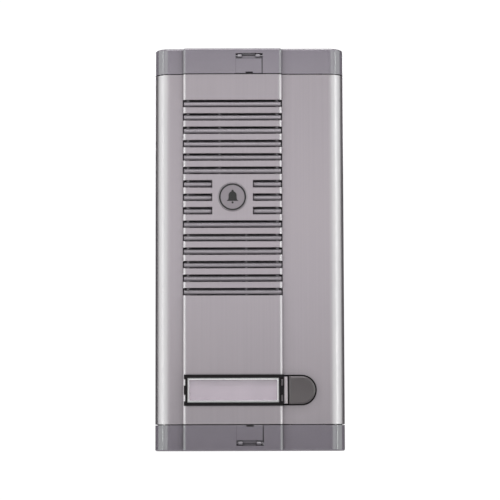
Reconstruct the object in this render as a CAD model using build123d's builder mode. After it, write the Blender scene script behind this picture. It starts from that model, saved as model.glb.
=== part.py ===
"""Surface-mounted door intercom entry panel with a louvred speech grille and one call button.

Millimetres. X runs to the right, Z up, and the wall is the plane Y = 0. The panel stands off the wall
towards -Y. Depths are written as heights off the wall: off_wall(h) is the sketch plane at height h, and
an extrusion from it grows towards the front. The origin is the middle of the wall face.
"""

import os

from build123d import *

# ---------------------------------------------------------------- driving dimensions
WIDTH, HEIGHT, DEPTH = 98.0, 209.0, 36.0
STEP = 2.0  # how far the raised band stands proud of the flanks
BAND_WIDTH, BAND_X = 51.6, -8.75  # the band is left of the middle
BAND_EDGE_R = 1.8
CORNER_R = 8.0  # long front edges of the casing
SKIN = 1.8  # wall of the aluminium extrusion
REAR = 1.2  # the casing's rear edge stands this far off the wall, on the seal
CAP_HEIGHT, CAP_WALL = 13.3, 2.2
JOINT_GAP = 0.5  # between an end cap and the extrusion
GAP = 0.25  # round loose mouldings
FIT = 0.15  # round sliding mouldings

FLANK = DEPTH - STEP
BAND_LEFT, BAND_RIGHT = BAND_X - BAND_WIDTH / 2, BAND_X + BAND_WIDTH / 2
CAP_Z = HEIGHT / 2 - CAP_HEIGHT  # inner end of the top cap
COVER_HALF = CAP_Z - JOINT_GAP

# grille
SLOT_ROWS, SLOT_PITCH, SLOT_HEIGHT = 15, 7.0, 3.75
SLOT_FLARE = 0.22  # broken edge round each slot
SPLIT_ROWS = (6, 7, 8)  # rows that leave room for the badge
SPLIT_LENGTH = 15.3
GRILLE_Z = 26.55
SLOT_DROP = 0.12  # the rows sit this much below the badge's middle line
BADGE_R, BADGE_RECESS = 7.55, 0.6
RING_OUT, RING_IN = 7.05, 6.15  # groove of the badge's dark ring

# chassis and rails
CHASSIS_FRONT, CHASSIS_THICK = 29.0, 2.0
CHASSIS_REAR = CHASSIS_FRONT - CHASSIS_THICK
CHASSIS_X, CHASSIS_Z = 46.0, 86.0
RAIL_THICK, RAIL_REACH = 1.2, 43.5

# name plate and button, which share one opening
UNIT_Z = -73.3
OPENING_HALF = 7.9
OPENING_LEFT = BAND_LEFT + 1.3
BUTTON_X, BUTTON_R, BUTTON_LEFT = 26.5, 7.1, 20.0
BUTTON_TOP, BUTTON_TRAVEL = DEPTH + 0.2, 1.5
STEM_R = 2.0
HOLDER_RIGHT = 17.3
BAR_LEFT, BAR_RIGHT = 17.45, 19.35
WINDOW_LEFT, WINDOW_RIGHT, WINDOW_HALF = -32.2, 15.0, 6.35

# printed circuit board
BOARD_FRONT, BOARD_THICK = 16.0, 1.6
BOARD_REAR = BOARD_FRONT - BOARD_THICK
BOARD_X, BOARD_TOP, BOARD_BOTTOM = 42.0, 12.0, -86.0
BOARD_POSTS = [(x, z) for x in (-39.0, 39.0) for z in (7.0, -72.0)]

# speaker and microphone
SPEAKER_X, SPEAKER_Z, SPEAKER_R = BAND_X, 49.0, 28.5
SPEAKER_SEAT = CHASSIS_REAR - 1.0  # front of the basket's flange, behind a 1 mm gasket
CLAMP_ANGLES = (90.0, 210.0, 330.0)
CLAMP_REACH = 33.0
MIC_X, MIC_Z, MIC_R = BAND_X, -14.0, 4.9

# screw wells behind the flaps in the end caps
FLAP_HALF, FLAP_X, FLAP_THICK = 6.7, -0.25, 1.7
RECESS_HALF = 7.05
EAR_INNER, EAR_OUTER = 3.65, 5.75  # the flap's two hinge ears, from its middle
HINGE_R, HINGE_PIN_R = 1.05, 0.55
HINGE_Z, HINGE_H = 100.45, DEPTH - HINGE_R
FLAP_END, RELIEF_END = 100.55, 101.9
STRIP_Z, STRIP_THICK = 98.95, 0.82  # the flap is thinner from here to its hinge
WELL_HALF, WELL_FLOOR, WELL_SCREW_Z = 5.5, 24.0, 96.2
WELL_Z0, WELL_Z1 = 92.9, 99.5

# wall box
BOX_X, BOX_Z, BOX_FLOOR, BOX_WALL, BOX_HEIGHT = 44.8, 100.5, 2.4, 2.0, 13.0
PILLAR_TOP = 21.3
WALL_HOLE_R, WALL_HOLE_X, WALL_HOLE_Z = 2.25, 30.0, 78.0
CABLE_Z, CABLE_R, CABLE_HOLE_R = -42.0, 4.5, 9.5


# ---------------------------------------------------------------- helpers
def off_wall(height, x=0, z=0):
    """Sketch plane parallel to the wall: local x is X, local y is Z, and it faces the front."""
    return Plane(origin=(x, -height, z), x_dir=(1, 0, 0), z_dir=(0, -1, 0))


def turning_plane(x, z):
    """Sketch plane through an axis that stands square to the wall: local x is radius, local y is height."""
    return Plane(origin=(x, 0, z), x_dir=(1, 0, 0), z_dir=(0, 0, -1))


def turning_axis(x, z):
    """The axis square to the wall through (x, z)."""
    return Axis((x, 0, z), (0, -1, 0))


def turned(points, x, z):
    """A closed (radius, height) profile, to be revolved about turning_axis(x, z)."""
    with BuildSketch(turning_plane(x, z)) as profile:
        with BuildLine():
            Polyline(*points, close=True)
        make_face()
    return profile.sketch


def plate(x0, x1, z0, z1, height):
    """A rectangle between two corners, on the plane at that height off the wall."""
    with BuildSketch(off_wall(height)) as outline:
        with Locations(((x0 + x1) / 2, (z0 + z1) / 2)):
            Rectangle(x1 - x0, z1 - z0)
    return outline.sketch


def discs(places, radius, height):
    """Circles at (x, z) places, on the plane at that height off the wall."""
    with BuildSketch(off_wall(height)) as outline:
        with Locations(*places):
            Circle(radius)
    return outline.sketch


def casing_section(inset, bottom):
    """Cross-section of the casing, inset from its outer surface, on the level plane at bottom."""
    half = WIDTH / 2 - inset
    front = FLANK - inset
    band_width = BAND_WIDTH - 2 * inset
    band_depth = STEP + CORNER_R
    with BuildSketch(Plane.XY.offset(bottom)) as outline:
        with Locations((0, -(front + REAR) / 2)):
            Rectangle(2 * half, front - REAR)
        fillet(outline.vertices().group_by(Axis.Y)[0], CORNER_R - inset)
        with Locations((BAND_X, -(DEPTH - inset) + band_depth / 2)):
            Rectangle(band_width, band_depth)
        fillet(outline.vertices().group_by(Axis.Y)[0], max(BAND_EDGE_R - inset, 0.3))
    return outline.sketch


def half_round(left, x, radius, height):
    """The button's outline: square on the left, a half circle of that radius about x on the right."""
    with BuildSketch(off_wall(height)) as outline:
        with Locations(((left + x) / 2, UNIT_Z)):
            Rectangle(x - left, 2 * radius)
        with Locations((x, UNIT_Z)):
            Circle(radius)
        if left > x - radius:
            # the circle reaches past the square end, so the overhang is cut off
            with Locations((left - radius / 2, UNIT_Z)):
                Rectangle(radius, 2 * radius, mode=Mode.SUBTRACT)
    return outline.sketch


def opening_outline(height):
    """The one opening in the extrusion that takes the name holder and the button."""
    with BuildSketch(off_wall(height)) as outline:
        with Locations(((OPENING_LEFT + BUTTON_X) / 2, UNIT_Z)):
            Rectangle(BUTTON_X - OPENING_LEFT, 2 * OPENING_HALF)
        with Locations((BUTTON_X, UNIT_Z)):
            Circle(OPENING_HALF)
    return outline.sketch


def window_plate(inset, height):
    """The outline of the name holder's window, inset all round."""
    half = WINDOW_HALF - inset
    return plate(WINDOW_LEFT + inset, WINDOW_RIGHT - inset, UNIT_Z - half, UNIT_Z + half, height)


def slot_spans(row):
    """The (left, right) ends of the slots in one grille row."""
    if row in SPLIT_ROWS:
        return [(BAND_LEFT, BAND_LEFT + SPLIT_LENGTH), (BAND_RIGHT - SPLIT_LENGTH, BAND_RIGHT)]
    return [(BAND_LEFT, BAND_RIGHT)]


def row_z(row):
    """Height of a grille row's middle, counted from the top row."""
    return GRILLE_Z - SLOT_DROP + (SLOT_ROWS // 2 - row) * SLOT_PITCH


def pan_screw(x, z, seat, head_r, head_height, shank_r, shank_end, towards_front):
    """A pan-head screw square to the wall: its head sits on seat and its shank ends at shank_end."""
    way = 1 if towards_front else -1
    top = seat + way * head_height
    with BuildPart() as screw:
        revolve(turned([(0, shank_end), (shank_r, shank_end + way * shank_r), (shank_r, seat),
                        (head_r, seat), (head_r, top - way * 0.6), (head_r * 0.7, top), (0, top)],
                       x, z), axis=turning_axis(x, z))
        arm, depth = head_r * 0.6, head_height * 0.55
        with BuildSketch(off_wall(top - depth if towards_front else top)):
            with Locations((x, z)):
                Rectangle(2 * arm, arm * 0.45)
                Rectangle(arm * 0.45, 2 * arm)
        extrude(amount=depth, mode=Mode.SUBTRACT)
    return screw.part


# ---------------------------------------------------------------- aluminium front cover
with BuildPart() as front_cover:
    extrude(casing_section(0, -COVER_HALF), amount=2 * COVER_HALF)
    extrude(casing_section(SKIN, -COVER_HALF), amount=2 * COVER_HALF, mode=Mode.SUBTRACT)
    # two rails inside each side wall hold the edges of the chassis
    rail_heights = (CHASSIS_REAR - 0.2 - RAIL_THICK / 2, CHASSIS_FRONT + 0.2 + RAIL_THICK / 2)
    rail_outer = WIDTH / 2 - SKIN
    with BuildSketch(Plane.XY.offset(-COVER_HALF)):
        for side in (-1, 1):
            for height in rail_heights:
                with Locations((side * (RAIL_REACH + rail_outer) / 2, -height)):
                    Rectangle(rail_outer - RAIL_REACH, RAIL_THICK)
    extrude(amount=2 * COVER_HALF)
    # louvre slots run the full width of the band, through its edges
    half, deep, proud = SLOT_HEIGHT / 2, FLANK - SKIN - 0.2, DEPTH + 0.5
    for row in range(SLOT_ROWS):
        for left, right in slot_spans(row):
            low, high = row_z(row) - half, row_z(row) + half
            with BuildSketch(Plane.YZ.offset(left)):
                with BuildLine():
                    Polyline((-deep, low), (-deep, high), (SLOT_FLARE - DEPTH, high),
                             (-proud, high + SLOT_FLARE + 0.5), (-proud, low - SLOT_FLARE - 0.5),
                             (SLOT_FLARE - DEPTH, low), close=True)
                make_face()
            extrude(amount=right - left, mode=Mode.SUBTRACT)
    extrude(opening_outline(FLANK - SKIN - 1), amount=STEP + SKIN + 2, mode=Mode.SUBTRACT)
    extrude(discs([(BAND_X, GRILLE_Z)], BADGE_R, DEPTH - BADGE_RECESS), amount=1, mode=Mode.SUBTRACT)

# ---------------------------------------------------------------- end caps and their flaps
with BuildPart() as top_end_cap:
    extrude(casing_section(0, CAP_Z), amount=CAP_HEIGHT)
    fillet(top_end_cap.edges().group_by(Axis.Z)[-1], 0.9)
    extrude(casing_section(CAP_WALL, CAP_Z), amount=CAP_HEIGHT - CAP_WALL, mode=Mode.SUBTRACT)
    # block round the screw well, under the flap
    block_z0, block_z1 = CAP_Z, RELIEF_END + 0.6
    extrude(plate(-RECESS_HALF - 1.4, RECESS_HALF + 1.4, block_z0, block_z1, WELL_FLOOR - 2.5),
            amount=DEPTH - CAP_WALL - WELL_FLOOR + 2.5)
    ledge, recess_z1 = DEPTH - FLAP_THICK - 0.2, HINGE_Z + HINGE_R + GAP
    extrude(plate(-RECESS_HALF, RECESS_HALF, CAP_Z - 1, FLAP_END + GAP, ledge), amount=3, mode=Mode.SUBTRACT)
    extrude(plate(-RECESS_HALF, RECESS_HALF, FLAP_END, recess_z1, HINGE_H), amount=3, mode=Mode.SUBTRACT)
    extrude(plate(FLAP_X - EAR_INNER, FLAP_X + EAR_INNER, FLAP_END, RELIEF_END, HINGE_H), amount=3,
            mode=Mode.SUBTRACT)
    extrude(plate(-2.2, 2.2, CAP_Z - 1, CAP_Z + 1.1, ledge - 1.5), amount=3, mode=Mode.SUBTRACT)
    extrude(plate(-WELL_HALF, WELL_HALF, WELL_Z0, WELL_Z1, WELL_FLOOR), amount=15, mode=Mode.SUBTRACT)
    extrude(discs([(0, WELL_SCREW_Z)], 2.0, WELL_FLOOR - 4), amount=6, mode=Mode.SUBTRACT)
    # round bed for the flap's ears, and the two holes for its pins
    for side in (-1, 1):
        bed_ends = sorted((FLAP_X + side * (EAR_INNER - GAP), side * RECESS_HALF))
        with BuildSketch(Plane.YZ.offset(bed_ends[0])):
            with Locations((-HINGE_H, HINGE_Z)):
                Circle(HINGE_R + GAP)
        extrude(amount=bed_ends[1] - bed_ends[0], mode=Mode.SUBTRACT)
    with BuildSketch(Plane.YZ.offset(-RECESS_HALF - 1.05)):
        with Locations((-HINGE_H, HINGE_Z)):
            Circle(HINGE_PIN_R + 0.05)
    extrude(amount=2 * RECESS_HALF + 2.1, mode=Mode.SUBTRACT)
    # tongues that plug into the extrusion
    tongue_out, tongue_thick, tongue_z0 = WIDTH / 2 - SKIN - FIT, 1.55, CAP_Z - 6.5
    for side in (-1, 1):
        inner, outer = sorted((side * (tongue_out - tongue_thick), side * tongue_out))
        extrude(plate(inner, outer, tongue_z0, CAP_Z + 6, 1.6), amount=21.9)
    for left, right in ((-41.0, -36.0), (21.0, 38.0)):
        extrude(plate(left, right, tongue_z0 + 1.2, CAP_Z + 6, FLANK - SKIN - FIT - 1.5), amount=1.5)

with BuildPart() as top_screw_flap:
    flap_back, flap_left, flap_right = DEPTH - FLAP_THICK, FLAP_X - FLAP_HALF, FLAP_X + FLAP_HALF
    extrude(plate(flap_left, flap_right, CAP_Z, STRIP_Z, flap_back), amount=FLAP_THICK)
    extrude(plate(flap_left, flap_right, STRIP_Z - 0.5, STRIP_Z + 0.85, flap_back), amount=STRIP_THICK)
    extrude(plate(FLAP_X - EAR_OUTER, FLAP_X + EAR_OUTER, STRIP_Z, FLAP_END, flap_back), amount=STRIP_THICK)
    fillet(top_screw_flap.edges().filter_by(Axis.X).group_by(Axis.Z)[0].sort_by(Axis.Y)[0], 0.3)
    for side in (-1, 1):
        inner, outer = sorted((FLAP_X + side * EAR_INNER, FLAP_X + side * EAR_OUTER))
        with BuildSketch(Plane.YZ.offset(inner)):
            with Locations((-HINGE_H, HINGE_Z)):
                Circle(HINGE_R)
        extrude(amount=outer - inner)
        extrude(plate(inner, outer, STRIP_Z, HINGE_Z, flap_back), amount=STRIP_THICK)
        # pin, from the ear out into the cap
        pin_inner, pin_outer = sorted((FLAP_X + side * (EAR_OUTER - 0.5), side * (RECESS_HALF + 1.0)))
        with BuildSketch(Plane.YZ.offset(pin_inner)):
            with Locations((-HINGE_H, HINGE_Z)):
                Circle(HINGE_PIN_R)
        extrude(amount=pin_outer - pin_inner)
    # notch for a screwdriver blade, and the snap leg under the plate
    extrude(plate(-1.9, 1.9, CAP_Z - 1, CAP_Z + 0.9, flap_back - 1), amount=4, mode=Mode.SUBTRACT)
    extrude(plate(-2.5, 2.5, WELL_Z0 + 0.7, WELL_Z0 + 1.5, flap_back - 1.5), amount=1.6)

with BuildPart() as bottom_end_cap:
    mirror(top_end_cap.part, about=Plane.XY)

with BuildPart() as bottom_screw_flap:
    mirror(top_screw_flap.part, about=Plane.XY)

with BuildPart() as cover_screws:
    for z in (-WELL_SCREW_Z, WELL_SCREW_Z):
        add(pan_screw(0, z, WELL_FLOOR + 0.03, 2.9, 2.2, 1.75, 8.0, towards_front=True))

# ---------------------------------------------------------------- wall box, its grommet and the seal
with BuildPart() as wall_box:
    with BuildSketch(off_wall(0)):
        RectangleRounded(2 * BOX_X, 2 * BOX_Z, 4)
    extrude(amount=BOX_HEIGHT)
    with BuildSketch(off_wall(BOX_FLOOR)):
        RectangleRounded(2 * (BOX_X - BOX_WALL), 2 * (BOX_Z - BOX_WALL), 2)
    extrude(amount=BOX_HEIGHT, mode=Mode.SUBTRACT)
    extrude(discs([(0, -WELL_SCREW_Z), (0, WELL_SCREW_Z)], 4.2, 1), amount=PILLAR_TOP - 1)
    # raised seats round the wall screws, and the cable hole
    wall_holes = [(x, z) for x in (-WALL_HOLE_X, WALL_HOLE_X) for z in (-WALL_HOLE_Z, WALL_HOLE_Z)]
    extrude(discs(wall_holes, 5.5, 1), amount=BOX_FLOOR + 0.8 - 1)
    extrude(discs(wall_holes, WALL_HOLE_R, -1), amount=8, mode=Mode.SUBTRACT)
    extrude(discs([(0, -WELL_SCREW_Z), (0, WELL_SCREW_Z)], 1.85, 6.0), amount=20, mode=Mode.SUBTRACT)
    extrude(discs([(0, CABLE_Z)], CABLE_HOLE_R, -1), amount=6, mode=Mode.SUBTRACT)
    # shallow stiffening ribs on the floor, clear of the cable and the terminals
    for z in (-60.0, 20.0, 60.0):
        extrude(plate(-BOX_X + 1, BOX_X - 1, z - 0.6, z + 0.6, 1), amount=BOX_FLOOR + 1.2 - 1)

with BuildPart() as cable_grommet:
    lip_r, neck_r = CABLE_HOLE_R + 2.0, CABLE_HOLE_R - 0.1
    revolve(turned([(CABLE_R, 0.1), (neck_r, 0.1), (neck_r, BOX_FLOOR + 0.1), (lip_r, BOX_FLOOR + 0.1),
                    (lip_r - 0.6, BOX_FLOOR + 1.5), (CABLE_R + 1.6, BOX_FLOOR + 1.9),
                    (CABLE_R, BOX_FLOOR + 1.9)], 0, CABLE_Z), axis=turning_axis(0, CABLE_Z))

with BuildPart() as wall_seal:
    with BuildSketch(off_wall(0)):
        RectangleRounded(WIDTH - 0.4, HEIGHT - 0.4, 1.2)
        RectangleRounded(WIDTH - 4.0, HEIGHT - 4.6, 1.0, mode=Mode.SUBTRACT)
    extrude(amount=REAR - 0.05)

# ---------------------------------------------------------------- chassis that slides into the rails
with BuildPart() as module_chassis:
    with BuildSketch(off_wall(CHASSIS_REAR)):
        RectangleRounded(2 * CHASSIS_X, 2 * CHASSIS_Z, 1.5)
    extrude(amount=CHASSIS_THICK)
    clamp_places = [Vector(CLAMP_REACH, 0).rotate(Axis.Z, a) for a in CLAMP_ANGLES]
    clamp_places = [(SPEAKER_X + v.X, SPEAKER_Z + v.Y) for v in clamp_places]
    extrude(discs(clamp_places, 3.0, SPEAKER_SEAT - 1.2), amount=3.0)
    extrude(discs(BOARD_POSTS, 3.0, BOARD_FRONT + 0.1), amount=CHASSIS_REAR - BOARD_FRONT)
    # openings: speaker, microphone, name plate light, button stem
    extrude(discs([(SPEAKER_X, SPEAKER_Z)], 24.8, 20), amount=12, mode=Mode.SUBTRACT)
    extrude(discs([(MIC_X, MIC_Z)], 6.2, 20), amount=12, mode=Mode.SUBTRACT)
    extrude(plate(-29, 13, UNIT_Z - 5.5, UNIT_Z + 5.5, 20), amount=12, mode=Mode.SUBTRACT)
    extrude(discs([(BUTTON_X, UNIT_Z)], STEM_R + 0.3, 20), amount=12, mode=Mode.SUBTRACT)
    frame_posts = [(x, UNIT_Z + dz) for x in (-34.5, 37.0) for dz in (-9.5, 9.5)]
    extrude(discs(frame_posts, 1.3, 20), amount=12, mode=Mode.SUBTRACT)
    extrude(discs(clamp_places, 1.25, 20), amount=7.5, mode=Mode.SUBTRACT)
    extrude(discs(BOARD_POSTS, 1.25, 14), amount=11, mode=Mode.SUBTRACT)
    peg_places = [(BAND_X + dx, GRILLE_Z + dz) for dx in (-21.0, 21.0) for dz in (-50.0, 0.0)]
    extrude(discs(peg_places, 1.2, 20), amount=12, mode=Mode.SUBTRACT)

# ---------------------------------------------------------------- louvres, dust screen and badge
with BuildPart() as louvre_insert:
    insert_left, insert_right = BAND_LEFT + SKIN + 0.3, BAND_RIGHT - SKIN - 0.3
    insert_half = (SLOT_ROWS - 1) / 2 * SLOT_PITCH + 4.6
    insert_back, insert_front = CHASSIS_FRONT + 0.3, DEPTH - SKIN - 0.25
    cheek, rim = 1.2, 1.6
    extrude(plate(insert_left, insert_right, GRILLE_Z - insert_half, GRILLE_Z + insert_half, insert_back),
            amount=insert_front - insert_back)
    extrude(plate(insert_left + cheek, insert_right - cheek, GRILLE_Z - insert_half + rim,
                  GRILLE_Z + insert_half - rim, insert_back - 1), amount=10, mode=Mode.SUBTRACT)
    # flanges behind the flanks close the view past the ends of the slots
    flange_left, flange_right = BAND_LEFT - 2.2, BAND_RIGHT + 2.2
    for left, right in ((flange_left, insert_left + cheek / 2), (insert_right - cheek / 2, flange_right)):
        extrude(plate(left, right, GRILLE_Z - insert_half, GRILLE_Z + insert_half, insert_back), amount=1.5)
    # each blade falls towards the front, so that rain runs out, and its round nose stands in the slot
    nose_front, nose_r, nose_z, blade_back, blade_rise = DEPTH - 1.0, 1.2, -0.13, insert_back + 0.4, 1.05
    nose_h = nose_front - nose_r
    for row in range(SLOT_ROWS):
        for left, right in slot_spans(row):
            blade_left = left + (0.7 if left == BAND_LEFT else 0.45)
            blade_right = right - (0.7 if right == BAND_RIGHT else 0.45)
            nose_at, rear_at = row_z(row) + nose_z, row_z(row) + nose_z + blade_rise
            with BuildSketch(Plane.YZ.offset(blade_left)):
                with BuildLine():
                    nose = ThreePointArc((-nose_h, nose_at + nose_r), (-nose_front, nose_at),
                                         (-nose_h, nose_at - nose_r))
                    Polyline(nose @ 1, (-blade_back, rear_at - nose_r),
                             (-blade_back, rear_at + nose_r), nose @ 0)
                make_face()
            extrude(amount=blade_right - blade_left)
    # one stiffening web in each half, behind the full-width slots
    extrude(plate(-16.0, -15.0, row_z(5) - 2.5, row_z(1) + 2.5, insert_back), amount=4.4)
    extrude(plate(-2.2, -1.2, row_z(14) - 2.5, row_z(10) + 2.5, insert_back), amount=4.4)
    # a backing plate closes the gap behind the badge, where the blades stop short
    blank_left, blank_right = BAND_LEFT + SPLIT_LENGTH - 0.45, BAND_RIGHT - SPLIT_LENGTH + 0.45
    extrude(plate(blank_left - 1, blank_right + 1, row_z(8) - 3, row_z(6) + 3, insert_back), amount=1.5)
    extrude(discs(peg_places, 2.4, insert_back), amount=1.5)
    extrude(discs(peg_places, 1.1, CHASSIS_REAR - 0.6), amount=insert_back - CHASSIS_REAR + 0.6)

with BuildPart() as dust_screen:
    extrude(plate(insert_left + 1, insert_right - 1, GRILLE_Z - insert_half + 1, GRILLE_Z + insert_half - 1,
                  CHASSIS_FRONT + 0.03), amount=0.22)
    extrude(discs(peg_places, 1.4, CHASSIS_FRONT - 1), amount=3, mode=Mode.SUBTRACT)

with BuildPart() as badge_disc:
    revolve(turned([(0, DEPTH - BADGE_RECESS + 0.03), (BADGE_R - 0.12, DEPTH - BADGE_RECESS + 0.03),
                    (BADGE_R - 0.12, DEPTH + 0.15), (BADGE_R - 0.3, DEPTH + 0.3), (0, DEPTH + 0.3)],
                   BAND_X, GRILLE_Z), axis=turning_axis(BAND_X, GRILLE_Z))
    # groove for the dark ring and a sunk bell for the pictogram
    inlay_floor = DEPTH - 0.05

    def bell_outline(height, grow):
        """A plain bell pictogram, grown all round by grow."""
        with BuildSketch(off_wall(height, BAND_X, GRILLE_Z)) as bell:
            with BuildLine():
                dome = ThreePointArc((-2.0, 0.3), (0, 2.9), (2.0, 0.3))
                side = Line(dome @ 1, (2.2, -1.3))
                brim = Polyline(side @ 1, (3.1, -2.1), (-3.1, -2.1), (-2.2, -1.3))
                Line(brim @ 1, dome @ 0)
            make_face()
            with Locations((0, 3.1), (0, -2.9)):
                Circle(0.55)
            if grow:
                offset(amount=grow, kind=Kind.INTERSECTION)
        return bell.sketch

    with BuildSketch(off_wall(inlay_floor)):
        with Locations((BAND_X, GRILLE_Z)):
            Circle(RING_OUT)
            Circle(RING_IN, mode=Mode.SUBTRACT)
    extrude(amount=1, mode=Mode.SUBTRACT)
    extrude(bell_outline(inlay_floor, 0.05), amount=1, mode=Mode.SUBTRACT)

with BuildPart() as badge_inlay:
    with BuildSketch(off_wall(inlay_floor + 0.02)):
        with Locations((BAND_X, GRILLE_Z)):
            Circle(RING_OUT - 0.05)
            Circle(RING_IN + 0.05, mode=Mode.SUBTRACT)
    extrude(amount=0.3)
    extrude(bell_outline(inlay_floor + 0.02, 0.0), amount=0.3)

# ---------------------------------------------------------------- speaker
speaker_axis = turning_axis(SPEAKER_X, SPEAKER_Z)


def speaker_ring(*points):
    """A (radius, depth behind the flange's front) profile of the speaker."""
    return turned([(r, SPEAKER_SEAT - d) for r, d in points], SPEAKER_X, SPEAKER_Z)


with BuildPart() as speaker_basket:
    revolve(speaker_ring((25.0, 0), (SPEAKER_R, 0), (SPEAKER_R, 1.2), (25.6, 1.2), (16.0, 12.6),
                         (6.0, 12.6), (6.0, 11.6), (15.5, 11.6), (24.7, 1.0)), axis=speaker_axis)
    # four windows in the cone of the frame
    with BuildSketch(off_wall(SPEAKER_SEAT - 10.8)):
        with Locations((SPEAKER_X, SPEAKER_Z)):
            with PolarLocations(20.5, 4, 45):
                RectangleRounded(6.0, 17.0, 2.0)
    extrude(amount=8, mode=Mode.SUBTRACT)

with BuildPart() as speaker_surround:
    with BuildSketch(turning_plane(SPEAKER_X, SPEAKER_Z)):
        with BuildLine():
            under_roll = ThreePointArc((22.2, SPEAKER_SEAT - 0.2), (23.5, SPEAKER_SEAT + 0.9),
                                       (24.8, SPEAKER_SEAT + 0.05))
            rim_edge = Polyline(under_roll @ 1, (26.4, SPEAKER_SEAT + 0.05), (26.4, SPEAKER_SEAT + 0.4),
                                (25.0, SPEAKER_SEAT + 0.4))
            over_roll = ThreePointArc(rim_edge @ 1, (23.4, SPEAKER_SEAT + 1.3), (21.8, SPEAKER_SEAT - 0.05))
            Line(over_roll @ 1, under_roll @ 0)
        make_face()
    revolve(axis=speaker_axis)

with BuildPart() as speaker_cone:
    revolve(speaker_ring((5.25, 9.0), (22.1, 0.45), (21.7, 0.05), (5.25, 8.4)), axis=speaker_axis)

with BuildPart() as speaker_dust_cap:
    with BuildSketch(turning_plane(SPEAKER_X, SPEAKER_Z)):
        with BuildLine():
            rim_h = SPEAKER_SEAT - 7.3
            over = RadiusArc((0, rim_h + 2.4), (6.7, rim_h), 10.552)
            foot_edge = Line(over @ 1, (6.3, rim_h))
            under = RadiusArc((6.3, rim_h), (0, rim_h + 2.0), -10.9225)
            Line(under @ 1, over @ 0)
        make_face()
    revolve(axis=speaker_axis)

with BuildPart() as speaker_voice_coil:
    revolve(speaker_ring((4.95, 8.2), (5.2, 8.2), (5.2, 15.2), (4.95, 15.2)), axis=speaker_axis)

with BuildPart() as speaker_top_plate:
    revolve(speaker_ring((5.5, 12.65), (15.0, 12.65), (15.0, 14.0), (5.5, 14.0)), axis=speaker_axis)

with BuildPart() as speaker_magnet:
    revolve(speaker_ring((8.0, 14.03), (16.0, 14.03), (16.0, 17.5), (8.0, 17.5)), axis=speaker_axis)
    chamfer(speaker_magnet.edges().filter_by(GeomType.CIRCLE).sort_by(SortBy.RADIUS)[-2:], 0.4)

with BuildPart() as speaker_yoke:
    revolve(speaker_ring((0, 12.8), (4.7, 12.8), (4.7, 17.53), (14.5, 17.53), (14.5, 18.8), (0, 18.8)),
            axis=speaker_axis)

with BuildPart() as speaker_gasket:
    revolve(speaker_ring((26.6, -0.03), (SPEAKER_R - 0.2, -0.03), (SPEAKER_R - 0.2, -0.97), (26.6, -0.97)),
            axis=speaker_axis)

with BuildPart() as speaker_terminal_strip:
    strip_z = SPEAKER_Z - 25.5
    extrude(plate(SPEAKER_X - 6, SPEAKER_X + 6, strip_z - 1.6, strip_z - 0.4, 18.0), amount=6.7)
    extrude(plate(SPEAKER_X - 4.6, SPEAKER_X - 3.0, strip_z - 2.4, strip_z - 1.5, 18.6), amount=3)
    extrude(plate(SPEAKER_X + 3.0, SPEAKER_X + 4.6, strip_z - 2.4, strip_z - 1.5, 18.6), amount=3)

with BuildPart() as speaker_clamps:
    clamp_height = SPEAKER_SEAT - 1.25
    with BuildSketch(off_wall(clamp_height - 1.0)):
        with Locations((SPEAKER_X, SPEAKER_Z)):
            for angle in CLAMP_ANGLES:
                with PolarLocations(31.0, 1, angle):
                    RectangleRounded(10.5, 7.0, 2.0)
    extrude(amount=1.0)
    extrude(discs(clamp_places, 1.5, clamp_height - 2), amount=4, mode=Mode.SUBTRACT)

with BuildPart() as speaker_clamp_screws:
    for x, z in clamp_places:
        add(pan_screw(x, z, clamp_height - 1.03, 2.6, 1.7, 1.15, CHASSIS_REAR + 0.2, towards_front=False))

# ---------------------------------------------------------------- microphone
with BuildPart() as microphone_boot:
    boot_front, boot_back = CHASSIS_FRONT - 0.1, 22.2
    revolve(turned([(MIC_R + 0.05, boot_front), (6.1, boot_front), (6.1, CHASSIS_REAR - 0.05),
                    (8.0, CHASSIS_REAR - 0.05), (8.0, CHASSIS_REAR - 1.0), (6.1, CHASSIS_REAR - 1.0),
                    (6.1, boot_back), (3.2, boot_back), (3.2, boot_back + 0.8),
                    (MIC_R + 0.05, boot_back + 0.8)], MIC_X, MIC_Z), axis=turning_axis(MIC_X, MIC_Z))

with BuildPart() as microphone_capsule:
    capsule_back, capsule_front = boot_back + 0.85, CHASSIS_FRONT - 0.4
    revolve(turned([(0, capsule_back), (MIC_R, capsule_back), (MIC_R, capsule_front), (3.4, capsule_front),
                    (3.4, capsule_front - 0.3), (0, capsule_front - 0.3)], MIC_X, MIC_Z),
            axis=turning_axis(MIC_X, MIC_Z))

# ---------------------------------------------------------------- amplifier board and what is on it
SWITCH_BACK = BOARD_FRONT + 0.03
LED_PLACES = [(-20.0, UNIT_Z), (4.0, UNIT_Z)]
TRIMMER_PLACES = {"speaker": (-30.0, -18.0), "microphone": (-30.0, -30.0)}
TRIMMER_TOP = BOARD_REAR - 4.4

with BuildPart() as amplifier_board:
    extrude(plate(-BOARD_X, BOARD_X, BOARD_BOTTOM, BOARD_TOP, BOARD_REAR), amount=BOARD_THICK)
    extrude(discs(BOARD_POSTS, 1.5, BOARD_REAR - 1), amount=4, mode=Mode.SUBTRACT)

with BuildPart() as board_screws:
    for x, z in BOARD_POSTS:
        add(pan_screw(x, z, BOARD_REAR - 0.03, 2.7, 1.8, 1.15, BOARD_FRONT + 6, towards_front=False))

with BuildPart() as amplifier_chips:
    for x, z, length, width in ((8.0, -32.0, 20.0, 6.6), (-4.0, -48.0, 10.0, 6.6), (24.0, -48.0, 10.0, 6.6)):
        extrude(plate(x - length / 2, x + length / 2, z - width / 2, z + width / 2, BOARD_FRONT + 0.5),
                amount=3.3)
        leg_count = int(length / 2.54)
        for leg in range(leg_count):
            leg_x = x + (leg - (leg_count - 1) / 2) * 2.54
            extrude(plate(leg_x - 0.4, leg_x + 0.4, z - width / 2 - 0.6, z + width / 2 + 0.6,
                          BOARD_FRONT + 0.03), amount=1.2)

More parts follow.
